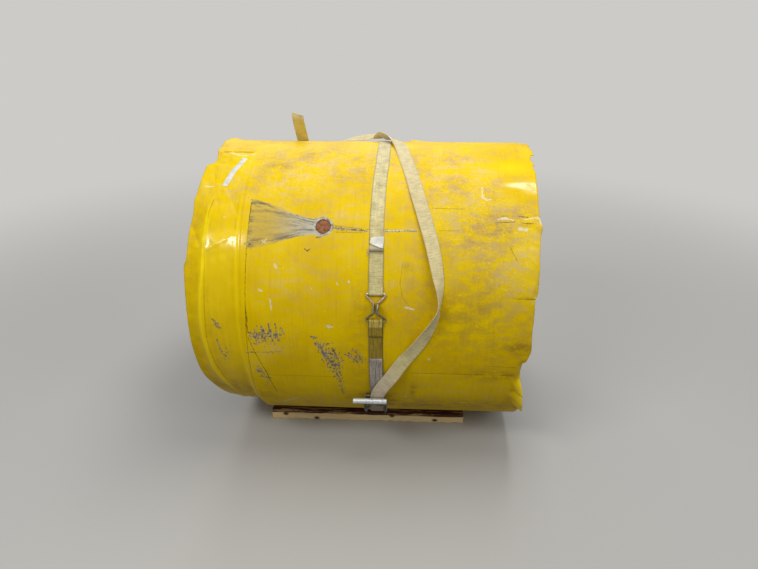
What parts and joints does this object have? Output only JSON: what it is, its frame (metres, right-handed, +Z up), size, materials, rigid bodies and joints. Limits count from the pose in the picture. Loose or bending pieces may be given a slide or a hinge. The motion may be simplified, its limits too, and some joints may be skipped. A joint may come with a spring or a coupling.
{
  "type": "steel coil",
  "caption": "Slit steel coil lying on its side in a low timber cradle, wrapped in painted yellow sheet and tied round its girth with a ratchet strap.",
  "frame": {"origin": "on the floor, under the coil's axis, at the middle of the timber cradle", "axes": "+X along the coil's axis, to the right in the picture; +Y away from the picture's viewer; +Z up"},
  "size_m": [1.1654, 1.1202, 1.2244],
  "materials": {
    "steel": "satin, edges of the turns",
    "wrap_paint": "semi-gloss, scuffed",
    "timber": "rough sawn",
    "webbing": "worn woven polyester",
    "zinc": "zinc plated, dull",
    "label": "matt"
  },
  "bodies": {
    "root": {"steel_coil": "steel", "outer_wrap": "wrap_paint", "front_runner": "timber", "rear_runner": "timber", "left_cross_board": "timber", "middle_cross_board": "timber", "right_cross_board": "timber", "long_strap": "webbing", "short_strap": "webbing", "upper_hook": "zinc", "lower_hook": "zinc", "ratchet_frame": "zinc", "ratchet_handle": "zinc", "release_lever": "zinc", "ratchet_spool": "zinc", "strap_bolt": "zinc", "strap_tag": "label", "label_strip": "label"}
  },
  "joints": []
}
